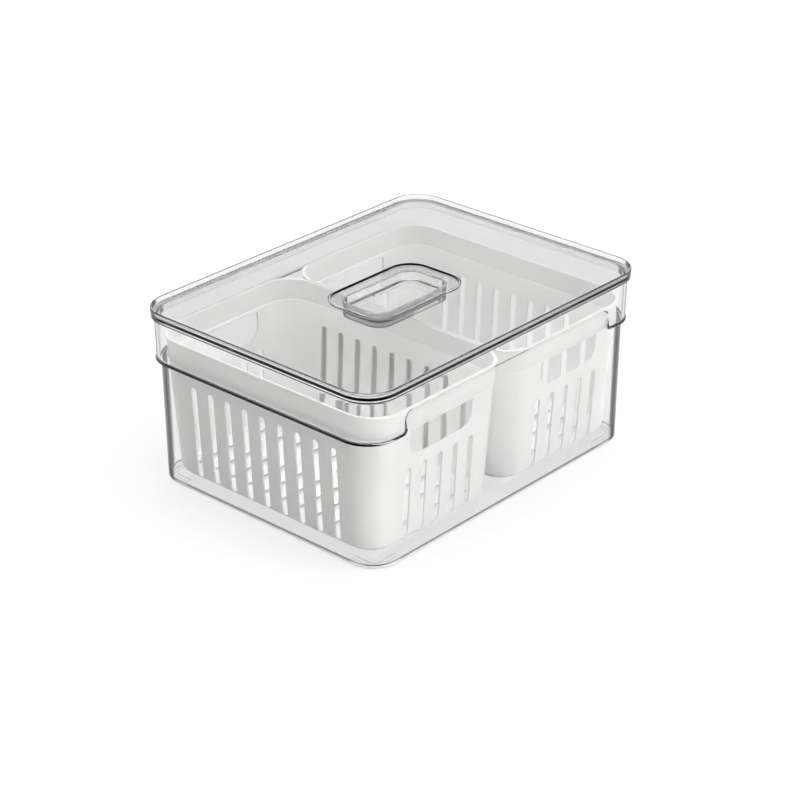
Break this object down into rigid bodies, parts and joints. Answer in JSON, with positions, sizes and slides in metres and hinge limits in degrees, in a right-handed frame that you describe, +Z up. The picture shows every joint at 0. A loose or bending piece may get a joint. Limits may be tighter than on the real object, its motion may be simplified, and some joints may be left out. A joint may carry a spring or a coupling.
{
  "type": "fridge organizer bin",
  "caption": "Clear lidded storage bin with slotted white drain baskets hung inside by their rims and a finger grip sunk in the lid.",
  "frame": {"origin": "under the middle of the bin, on the plane that its corner feet stand on", "axes": "+X along the long side, +Y along the short side, +Z up"},
  "size_m": [0.3198, 0.2416, 0.1481],
  "materials": {
    "clear_bin": "clear moulded, polished",
    "clear_lid": "clear moulded, polished",
    "clear_grip": "clear moulded, polished",
    "white_basket": "white moulded, satin"
  },
  "bodies": {
    "bin": {"bin_body": "clear_bin"},
    "lid": {"lid_cover": "clear_lid", "lid_grip": "clear_grip"},
    "left_basket": {"basket_left": "white_basket"},
    "right_basket": {"basket_right": "white_basket"}
  },
  "joints": [
    {"name": "lid_lift", "type": "slide", "parent": "bin", "child": "lid", "axis": [0, 0, 1], "range_m": [0, 0.3]},
    {"name": "left_basket_lift", "type": "slide", "parent": "bin", "child": "left_basket", "axis": [0, 0, 1], "range_m": [0, 0.15]},
    {"name": "right_basket_lift", "type": "slide", "parent": "bin", "child": "right_basket", "axis": [0, 0, 1], "range_m": [0, 0.15]}
  ],
  "couplings": [
    {"joint": "left_basket_lift", "follows": "lid_lift", "ratio": 0.5},
    {"joint": "right_basket_lift", "follows": "lid_lift", "ratio": 0.5}
  ]
}
